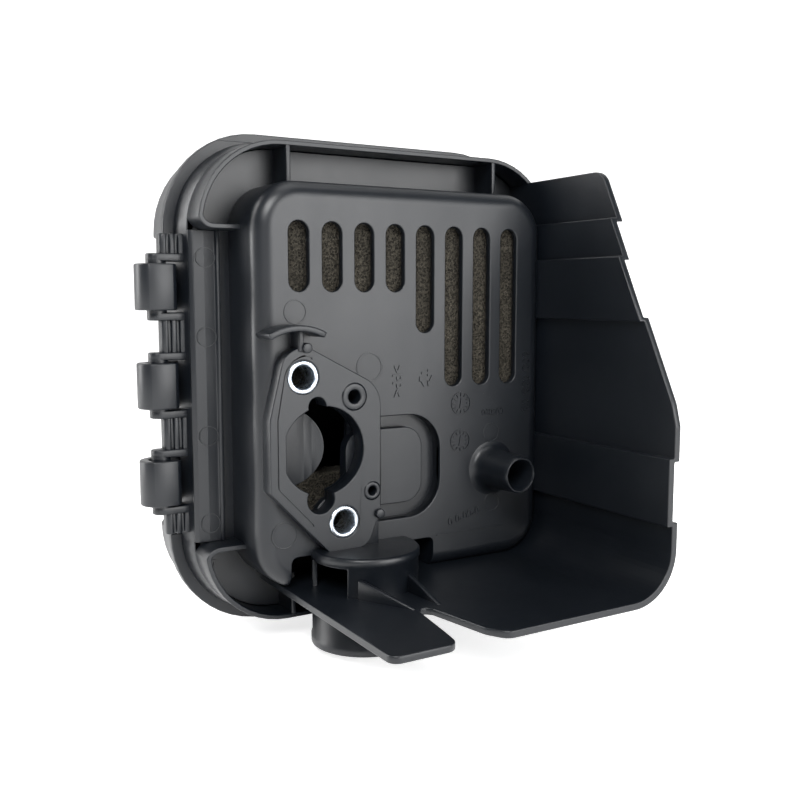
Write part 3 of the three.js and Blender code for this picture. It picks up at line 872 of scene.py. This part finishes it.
def shroud_parts(body, shroud):
    """Shroud, corner and bottom plate in one run, the well, its web and the two gussets."""
    t, out = shroud.sheet, body.right
    heights = [86.5, 70.6, 58.4, 38.6, -1.5, -22]
    shifts = [2.6, 0, -shroud.step, 0, -shroud.step, 0]
    inner, outer = [], []
    for i, z in enumerate(heights):
        rise = 0 if i == 0 else (shifts[i] > shifts[i - 1]) - (shifts[i] < shifts[i - 1])
        inner.append((out + shifts[i], z, 0))
        outer.append((out + shifts[i] + t, z + rise * t / 2, 0))
        if i + 1 < len(heights):
            fall = (shifts[i + 1] > shifts[i]) - (shifts[i + 1] < shifts[i])
            inner.append((out + shifts[i], heights[i + 1], 0))
            outer.append((out + shifts[i] + t, heights[i + 1] + fall * t / 2, 0))
    floor = body.bottom + 0.3
    run = rounded(inner + [(out, floor, shroud.corner), (shroud.fin_left, floor, 0),
                           (shroud.fin_left, floor - t, 0), (out + t, floor - t, shroud.corner + t)]
                  + outer[::-1])
    front = shroud.front
    side = prism(rounded([(front, -60, 0), (40, -60, 0), (40, 85.9, 0), (-20, 85.9, 6), (-55.2, 14.6, 8),
                          (front, 8, 2)]), "yz", -40, 80)
    plan = prism(rounded([
        (shroud.fin_left, 40, 0), (shroud.fin_left, front, 3), (-6, front, 4), (-4.6, -50, 3),
        (-1.6, -30.5, 0), (-0.4, -28.9, 0), (1.6, -28.9, 0), (2.9, -30.5, 0), (6.6, -51, 6), (10, front, 4),
        (90, front, 0), (90, 40, 0)]), "xy", -60, 95)
    sheet = carve(prism(run, "xz", front - 5, body.floor_y + 1), common=[side, plan])
    parts = [soften(sheet, body.edge, sharp=28)]
    x, y, r = shroud.well_x, shroud.well_y, shroud.well
    top, bottom, inside = shroud.well_top, shroud.well_bottom, shroud.well - shroud.well_wall
    drum = turned(x, y, "z", [(r - 0.6, top), (r, top - 0.6), (r, top - 2.6), (r - 0.35, top - 2.9),
                              (r - 0.35, bottom + 3), (r, bottom + 2.7), (r, bottom)], 88)
    bore = turned(x, y, "z", [(inside, top - 2), (inside, bottom - 1)], 88)
    view = [(x, y), (x - 30 * sin(0.83), y - 30 * cos(0.83)), (x - 40, y - 6), (x - 30, y + 9)]
    window = prism(view, "xy", -43.2, -34.5)
    parts.append(soften(carve(drum, cut=[bore, window]), body.edge, sharp=50))
    web = rectangle(-4.2, 3.2, top - 1, -19)
    parts.append(soften(prism(web, "xz", 1.6, body.face_y + 1), 0.3))
    for start, end in (((-11.4, -12.4), (-1.9, -29)), ((5.2, -11.6), (6.6, -28.6))):
        parts.append(gusset(Vector(start), Vector(end), floor, body.rib))
    return parts


def gusset(start, end, floor, thickness):
    """A triangular rib that stands on the bottom plate against the well."""
    along = (end - start).normalized()
    across = Vector((-along.y, along.x)) * thickness / 2
    reach = (end - start).length
    profile = [(0, -1), (reach, -1), (reach, 0.1), (1.5, 5.6), (0, 5.6)]
    rings = []
    for side in (-1, 1):
        spots = [(start + along * u + across * side, floor + v) for u, v in profile]
        rings.append([(p.x, p.y, z) for p, z in spots])
    return soften(loft("gusset", rings), 0.3)


def rail_parts(body, hinge):
    """Ears, pins and the fluted rail that carry the cover."""
    x, y, pin = hinge.x, hinge.y, hinge.pin
    root = body.left - body.rim + 1
    ear = rounded([(root, y - pin, 0), (root, body.joint_y, 0), (x - pin, body.joint_y, 2.6),
                   (x - pin, y - pin, 2.9)])
    rail = rounded([(root, y - 2.6, 0), (x + 0.6, y - 2.6, 1.4), (x + 0.6, y + 2.2, 1.4), (root, y + 2.2, 0)])
    parts = []
    for z in hinge.z:
        parts.append(turned(x, y, "z", [(pin, z - hinge.ear_reach), (pin, z + hinge.ear_reach)]))
        for centre in (z - hinge.ear_reach, z + hinge.ear_reach):
            parts.append(soften(prism(ear, "xy", centre - hinge.ear / 2, centre + hinge.ear / 2), body.edge))
    ends = [body.zone_low + 2.6] + [z + s * hinge.ear_reach for z in hinge.z for s in (-1, 1)]
    ends.append(body.zone_high - 1)
    for low, high in zip(ends[::2], ends[1::2]):
        flutes = [prism(rectangle(x + dx, x + dx + 1.1, y - 4, y - 1.6), "xy", low - 1, high + 1)
                  for dx in (2.6, 5.2)]
        parts.append(soften(carve(prism(rail, "xy", low, high), cut=flutes), 0.3))
    return parts


def catch_parts(body):
    """The two catches that the latch tabs hold on to."""
    right, y = body.right + body.rim, body.joint_y - 6
    wedge = [(right - 1, y), (right + 2.4, y), (right + 2.4, y + 1), (right + 0.4, y + 3.6), (right - 1, y + 3.6)]
    parts = []
    for node in ("latch_tab_lower", "latch_tab_upper"):
        z = middle(node)[1]
        parts.append(soften(prism(wedge, "xy", z - 6, z + 6), 0.25))
    return parts


def ejector_marks(body, mould):
    """Faint raised circles where the mould's pins pushed the part out."""
    face = body.face_y
    column = body.column_y - 0.1
    spots = [(-23.1, face, 41.5, 3.5), (1.9, face, 24.2, 4.4), (-27.4, face, -25.6, 4), (48.8, face, 0.3, 3.1),
             (49.3, face, -23.8, 3)]
    spots += [(-43, column, z, 3) for z in (57.8, 33.8, 3.3, -24.2)]
    ring = turned(0, 0, "y", [(0.95, -0.15), (1.0, -0.2), (1.05, -0.15), (1.05, 0.2), (0.95, 0.2), (0.95, -0.15)])
    return repeated(ring, [((x, y, z), (0, 0, 0), (r, 1, r)) for x, y, z, r in spots], mould)


def written(text, x, z, height, turn, y):
    """Raised writing on a face that looks towards the engine."""
    curve = bpy.data.curves.new("writing", "FONT")
    curve.body = text
    curve.size = height * MM
    curve.extrude = 0.3 * MM
    curve.offset = 0.07 * MM
    curve.align_x = curve.align_y = "CENTER"
    obj = bpy.data.objects.new("writing", curve)
    bpy.context.collection.objects.link(obj)
    obj.rotation_euler = (pi / 2, turn, 0)
    obj.location = Vector((x, y, z)) * MM
    bpy.context.view_layer.update()
    graph = bpy.context.evaluated_depsgraph_get()
    mesh = bpy.data.meshes.new_from_object(obj.evaluated_get(graph), depsgraph=graph)
    mesh.transform(obj.matrix_world)
    bpy.data.curves.remove(curve)
    result = bpy.data.objects.new("writing", mesh)
    bpy.context.collection.objects.link(result)
    return result


def moulding_marks(body, mould):
    """Generic marks: material code, number rows, date clocks and a recycling triangle."""
    y = body.face_y
    parts = [
        written(">PP<", 11.7, 19.3, 4.8, pi / 2, y),
        written("000 000 00", 63.2, 17, 4.6, pi / 2, y),
        written("0 0-00-0", 38, -27.4, 3.8, -0.25, y),
        written("000000", 49.4, 7.2, 3, 0, y),
    ]
    clocks = ((36.4, 10.9), (36.2, -1.6))
    tick = prism(rectangle(-0.16, 0.16, 2.3, 3.3), "xz", -0.3, 0.1)
    hands = [((x, y, z), (0, 2 * pi * i / 12, 0), (1, 1, 1))
             for x, z in clocks for i in range(12)]
    parts.append(repeated(tick, hands, mould))
    for x, z in clocks:
        parts.append(turned(x, z, "y", [(3.5, y - 0.3), (3.85, y - 0.3), (3.85, y + 0.1), (3.5, y + 0.1),
                                        (3.5, y - 0.3)], 40))
        parts.append(prism([(x - 0.6, z - 1.6), (x + 0.6, z - 1.6), (x, z + 1.9)], "xz", y - 0.3, y + 0.1))
    bent = [(-2.5, -0.4), (0.6, -0.4), (0.6, -1.3), (2.5, 0.3), (0.6, 1.6), (0.6, 0.7), (-2.5, 0.7)]
    parts.append(prism(rectangle(27, 54, body.bottom + 10.6, body.bottom + 11), "xz", y - 0.2, y + 0.1))
    stamp = carve(prism(rectangle(-1.7, 1.7, -1.7, 1.7), "xz", -0.35, 0.1),
                  cut=[prism(rectangle(-1.1, 1.1, -1.1, 1.1), "xz", -1, 1)])
    pockets = [((-43, body.floor_y, z), (0, 0.2, 0), (1, 1, 1)) for z in (body.top - 4.3, body.bottom + 5.3)]
    parts.append(repeated(stamp, pockets, mould))
    arrow = prism([(u, v + 2.2) for u, v in bent], "xz", -0.3, 0.1)
    turns = [((22.8, y, 19.8), (0, 2 * pi * i / 3, 0), (0.75, 1, 0.75)) for i in range(3)]
    parts.append(repeated(arrow, turns, mould))
    return parts


# ------------------------------------------------------------------ front cover

def cover_parts(body, hinge):
    """Domed shell, band, lip, bridge, flank and inner ribs, with the latch windows cut out."""
    joint, front = body.joint_y + 0.4, body.cover_y
    shell = body.cover - 2
    inside = shell - body.wall
    r = 10

    def dome(offset, start, end, radius, count=10):
        turns = [pi / 2 * i / count for i in range(count + 1)]
        curve = [(offset - radius * (1 - cos(t)), end - radius * (1 - sin(t))) for t in turns]
        return [(offset, start)] + curve

    skin = carve(swept(body, dome(shell, joint, front, r), False),
                 cut=[swept(body, dome(inside, joint - 2, front - body.wall, r - body.wall), False)])
    lip_out = body.rim - body.wall - 0.5
    pieces = [
        band(body, body.cover, inside, joint, joint + 4),
        band(body, body.cover - 3, lip_out - body.wall, joint + 0.2, joint + 2.6),
        band(body, lip_out, lip_out - body.wall, body.joint_y - 1.5, body.joint_y + 12),
    ]
    left = body.left - body.rim - 0.4
    low, high = body.zone_low + 1.2, body.zone_high - 1.2
    beside = prism(rectangle(-80, left, low, high), "xz", joint - 6, front + 1)
    recess = prism(rectangle(-36, 72, body.top + body.cover - 3.2, 120), "xz", joint - 2, body.joint_y + 3.4)
    windows = []
    for node in ("latch_tab_lower", "latch_tab_upper"):
        z = middle(node)[1]
        edge = body.right + body.rim - 0.2
        windows.append(prism(rectangle(edge, edge + 14, z - 8.8, z + 8.8), "xz", joint - 2, body.joint_y + 8.1))
    hull = swept(body, dome(shell - 0.4, joint, front - 0.4, r - 1), False)
    flank = carve(prism(rectangle(left, left + 2.2, low - 2.2, high + 2.2), "xz", joint, front - 6), common=[hull])
    solid_cover = carve(skin, add=pieces)
    carve(solid_cover, cut=[beside, recess, *windows])
    parts = [soften(carve(solid_cover, add=[flank]), body.edge, sharp=40)]
    for z in (-14, 18.5, 51):
        wide = rectangle(body.left - 5.5, body.right + 5.5, z - 0.7, z + 0.7)
        deep = rectangle(body.left + 4, body.right - 4, z - 0.7, z + 0.7)
        parts.append(soften(prism(wide, "xz", body.joint_y + 3.2, front - 1), 0.25))
        parts.append(soften(prism(deep, "xz", body.floor_y - 0.1, front - 1.1), 0.25))
    return parts + hook_parts(body, hinge) + front_parts(body)


def front_parts(body):
    """The raised panel and the grip bars on the outside of the cover."""
    y = body.cover_y
    panel = loft("panel", [[(x, y + depth, z) for x, z in outline(body, offset)]
                           for offset, depth in ((-9, -0.6), (-9, 0.5), (-9.6, 1.1), (-10.4, 1.4))])
    bars = [prism(rectangle(body.x - 26, body.x + 26, body.z + dz - 1.6, body.z + dz + 1.6, 1.5), "xz",
                  y + 0.5, y + 2.3) for dz in (-12, -4, 4, 12)]
    return [panel] + [soften(bar, 0.6, 3) for bar in bars]


def hook_parts(body, hinge):
    """C-shaped hooks with flat fronts that wrap the pins, each with its arm."""
    x, y = hinge.x, hinge.y
    start, end = 0.36 * pi, 1.8 * pi
    wrap = arc(x, y, hinge.outer, start, end) + arc(x, y, hinge.bore, end, start)
    near = body.left - body.rim + 1.6
    arm = [(x + 1.2, y + 3.9), (near, body.joint_y + 1.4), (near, body.joint_y + 6), (x + 1.5, y + 6.3)]
    parts = []
    for z in hinge.z:
        low, high = z - hinge.hook, z + hinge.hook
        flat = prism(rectangle(x - 8, x + 8, y - 8, y - hinge.flat), "xy", low - 1, high + 1)
        hook = carve(carve(prism(wrap, "xy", low, high), add=[prism(arm, "xy", low, high)]), cut=[flat])
        parts.append(soften(hook, 0.5, 3))
    return parts


# ------------------------------------------------------------------ operators

class FILTER_OT_rear_housing(bpy.types.Operator):
    """Builds the rear housing: filter box, flange, rim, shroud, well and hinge rail"""

    bl_idname = "filter.rear_housing"
    bl_label = "Rear housing"

    def execute(self, context):
        body, flange, shroud, hinge = sizes(context)
        mould = plastic(context)
        parts = [face_block(body, flange), nipple(body), deflector(body, flange)]
        parts += flange_parts(body, flange) + rim_parts(body) + shroud_parts(body, shroud)
        parts += rail_parts(body, hinge) + catch_parts(body)
        parts += [ejector_marks(body, mould)] + moulding_marks(body, mould)
        finished(assemble("housing_moulding", parts, mould), "housing", "rear_housing")
        return {"FINISHED"}


class FILTER_OT_front_cover(bpy.types.Operator):
    """Builds the front cover with its hooks, lip and ribs"""

    bl_idname = "filter.front_cover"
    bl_label = "Front cover"

    def execute(self, context):
        body, _, _, hinge = sizes(context)
        finished(assemble("cover_moulding", cover_parts(body, hinge), plastic(context)), "cover", "front_cover")
        return {"FINISHED"}


def copied(node, name):
    """A copy of a CAD node's mesh as a new object."""
    obj = bpy.data.objects.new(name, frame["nodes"][node].data.copy())
    bpy.context.collection.objects.link(obj)
    return obj


class FILTER_OT_latch_tabs(bpy.types.Operator):
    """Builds the two latch tabs with their grip bars"""

    bl_idname = "filter.latch_tabs"
    bl_label = "Latch tabs"

    def execute(self, context):
        mould = plastic(context)
        for node, body_name in (("latch_tab_lower", "tab_lower"), ("latch_tab_upper", "tab_upper")):
            low, high = (Vector(corner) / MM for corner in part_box(node))
            tab = soften(copied(node, node + "_shell"), 0.4)
            bar = prism(rectangle(-6, 6, -0.45, 0.45, 0.4), "yz", -0.5, 0.45)
            bar.data.transform(Matrix.Rotation(pi / 2, 4, "X"))
            spots = [((high.x - 0.75, low.y + 2.6 + i * 1.7, (low.z + high.z) / 2), (0, 0, 0), (1, 1, 1))
                     for i in range(4)]
            grips = repeated(bar, spots, mould)
            finished(assemble(node + "_moulding", [tab, grips], mould), body_name, node)
        return {"FINISHED"}


class FILTER_OT_foam_element(bpy.types.Operator):
    """Builds the foam element with its uneven, open-celled surface"""

    bl_idname = "filter.foam_element"
    bl_label = "Foam element"

    def execute(self, context):
        foam = copied("foam_element", "foam_shape")
        remesh = foam.modifiers.new("cells", "REMESH")
        remesh.mode = "VOXEL"
        remesh.voxel_size = context.scene.filter_finish.cell
        soft = foam.modifiers.new("soft", "SMOOTH")
        soft.iterations = 3
        lumps = bpy.data.textures.new("foam lumps", "CLOUDS")
        lumps.noise_scale = 3 * MM
        push = foam.modifiers.new("lumps", "DISPLACE")
        push.texture = lumps
        push.strength = 0.5 * MM
        push.mid_level = 0.62
        evaluated(foam)
        paint = material("filter foam", lambda: foam_material(context.scene.filter_finish))
        slab = assemble("foam_slab", [foam], paint)
        finished(slab, "housing", "foam_element")
        return {"FINISHED"}


class FILTER_OT_cover_seal(bpy.types.Operator):
    """Builds the rubber seal between housing and cover"""

    bl_idname = "filter.cover_seal"
    bl_label = "Cover seal"

    def execute(self, context):
        body = sizes(context)[0]
        low, high = (Vector(corner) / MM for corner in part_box("cover_seal"))
        out, inn = body.seal_offset, body.seal_offset - 3
        y0, y1 = low.y, high.y
        crown = [(out, y0), (out, y1 - 1.2), (out - 0.6, y1 - 0.3), (out - 1.5, y1), (inn + 0.6, y1 - 0.3),
                 (inn, y1 - 1.2), (inn, y0)]
        rubber = material("seal rubber", lambda: rubber_material("seal rubber", 0.018))
        finished(assemble("seal_ring", [swept(body, crown, True)], rubber), "housing", "cover_seal")
        return {"FINISHED"}


class FILTER_OT_stud_sleeves(bpy.types.Operator):
    """Builds the two zinc-plated sleeves for the carburettor studs"""

    bl_idname = "filter.stud_sleeves"
    bl_label = "Stud sleeves"

    def execute(self, context):
        zinc = material("bright zinc", zinc_material)
        for node in ("sleeve_upper", "sleeve_lower"):
            low, high = (Vector(corner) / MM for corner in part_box(node))
            x, z = middle(node)
            out, inn = (high.x - low.x) / 2, 3.6
            y0, y1 = low.y, high.y
            tube = [(inn, y0 + 0.5), (inn + 0.15, y0 + 0.15), (inn + 0.45, y0), (out - 0.4, y0), (out, y0 + 0.35),
                    (out, y1 - 0.2), (out - 0.2, y1), (inn, y1), (inn, y0 + 0.5)]
            finished(assemble(node + "_tube", [turned(x, z, "y", tube, 72)], zinc), "housing", node)
        return {"FINISHED"}


class FILTER_OT_primer(bpy.types.Operator):
    """Builds the primer bulb and the ring that holds it"""

    bl_idname = "filter.primer"
    bl_label = "Primer"

    def execute(self, context):
        ring = soften(copied("primer_ring", "ring_shape"), 0.3)
        finished(assemble("primer_ring_moulding", [ring], plastic(context)), "housing", "primer_ring")
        low, high = (Vector(corner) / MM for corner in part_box("primer_bulb"))
        x, y = (low.x + high.x) / 2, (low.y + high.y) / 2
        flange = (high.x - low.x) / 2
        dome, seat = flange - 2.6, high.z - 1.8
        height = seat - low.z
        arch = [(dome * cos(t), seat - height * sin(t)) for t in (pi / 2 * i / 16 for i in range(16))]
        profile = [(flange, high.z), (flange, seat), (dome + 0.5, seat)] + arch[1:]
        bulb = turned(x, y, "z", profile, 64)
        rubber = material("bulb rubber", lambda: rubber_material("bulb rubber", 0.024))
        finished(assemble("primer_bulb_dome", [bulb], rubber), "bulb", "primer_bulb")
        return {"FINISHED"}


def sheet_of(name, spot, turn, size, material):
    """A large square of the stage."""
    half = size / 2
    mesh = bpy.data.meshes.new(name)
    mesh.from_pydata([(-half, -half, 0), (half, -half, 0), (half, half, 0), (-half, half, 0)], [], [(0, 1, 2, 3)])
    mesh.materials.append(material)
    obj = bpy.data.objects.new(name, mesh)
    obj.location = spot
    obj.rotation_euler = turn
    bpy.context.collection.objects.link(obj)
    return obj


def lamp(name, spot, aim, width, height, power, colour=(1, 1, 1)):
    """A soft rectangular lamp that points at a place; lengths in metres."""
    data = bpy.data.lights.new(name, "AREA")
    data.shape = "RECTANGLE"
    data.size, data.size_y = width, height
    data.energy = power
    data.color = colour
    obj = bpy.data.objects.new(name, data)
    obj.location = spot
    obj.rotation_euler = (Vector(aim) - Vector(spot)).to_track_quat("-Z", "Y").to_euler()
    bpy.context.collection.objects.link(obj)
    return obj


class FILTER_OT_stage(bpy.types.Operator):
    """Sets up the floor, the camera and soft studio light"""

    bl_idname = "filter.stage"
    bl_label = "Stage"

    def execute(self, context):
        scene, stage = context.scene, context.scene.filter_stage
        low, high = (Vector(corner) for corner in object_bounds())
        target = Vector(stage.target)
        a, e = radians(stage.azimuth), radians(stage.elevation)
        away = Vector((sin(a) * cos(e), -cos(a) * cos(e), sin(e)))
        pale = Shader("studio white")
        speck = pale.noise(60, detail=2)
        pale.set(Base_Color=pale.blend(speck, (0.88, 0.88, 0.88), (0.90, 0.90, 0.90)), Roughness=0.9,
                 Emission_Color=(1, 1, 1, 1), Emission_Strength=0.72)
        ground = low.z - 0.0006
        floor = sheet_of("studio_floor", (0, 0, ground), (0, 0, 0), 14, pale.material)
        wall = sheet_of("studio_wall", (-away.x * 4, -away.y * 4, ground), (pi / 2, 0, a), 16, pale.material)
        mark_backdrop(floor, wall)
        world = bpy.data.worlds.new("studio")
        world.use_nodes = True
        world.node_tree.nodes["Background"].inputs["Color"].default_value = (1, 1, 1, 1)
        world.node_tree.nodes["Background"].inputs["Strength"].default_value = stage.ambient
        scene.world = world
        data = bpy.data.cameras.new("studio camera")
        data.lens = stage.lens
        data.sensor_width = 36
        data.dof.use_dof = False
        camera = bpy.data.objects.new("studio camera", data)
        camera.location = target + away * stage.distance
        camera.rotation_euler = (-away).to_track_quat("-Z", "Y").to_euler()
        context.collection.objects.link(camera)
        scene.camera = camera
        lamp("key", target + Vector((0.43, -1.08, 0.26)), target, 0.9, 0.85, 16)
        lamp("upper left", target + Vector((-0.55, -0.75, 0.75)), target, 0.5, 0.5, 13)
        lamp("left rim", target + Vector((-0.75, 0.55, 0.35)), target, 0.3, 0.9, 8)
        lamp("top", target + Vector((0.1, -0.1, 1.0)), target, 0.6, 0.6, 2.5)
        scene.view_settings.view_transform = "Standard"
        return {"FINISHED"}


class FILTER_PT_panel(bpy.types.Panel):
    """Sizes and build buttons of the air filter housing"""

    bl_idname = "FILTER_PT_panel"
    bl_label = "Filter housing"
    bl_space_type = "VIEW_3D"
    bl_region_type = "UI"
    bl_category = "Filter Housing"

    def draw(self, context):
        for operator in OPERATORS:
            self.layout.operator(operator.bl_idname)
        for name, group in GROUPS.items():
            box = self.layout.box()
            box.label(text=group.__doc__)
            for prop in group.__annotations__:
                box.prop(getattr(context.scene, name), prop)


OPERATORS = (
    FILTER_OT_rear_housing,
    FILTER_OT_front_cover,
    FILTER_OT_latch_tabs,
    FILTER_OT_foam_element,
    FILTER_OT_cover_seal,
    FILTER_OT_stud_sleeves,
    FILTER_OT_primer,
    FILTER_OT_stage,
)
CLASSES = (*GROUPS.values(), *OPERATORS, FILTER_PT_panel)


def register():
    """Registers the add-on's classes and its groups of sizes."""
    for cls in CLASSES:
        bpy.utils.register_class(cls)
    for name, group in GROUPS.items():
        setattr(bpy.types.Scene, name, PointerProperty(type=group))


def unregister():
    """Takes the add-on's classes and groups away again."""
    for name in GROUPS:
        delattr(bpy.types.Scene, name)
    for cls in reversed(CLASSES):
        bpy.utils.unregister_class(cls)


def corners(box):
    """A box's two corners as plain numbers."""
    return [[float(value) for value in corner] for corner in box]


def main():
    """Builds every piece and the stage."""
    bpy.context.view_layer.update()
    register()
    for operator in OPERATORS:
        group, name = operator.bl_idname.split(".")
        getattr(getattr(bpy.ops, group), name)()


if __name__ == "__main__":
    main()
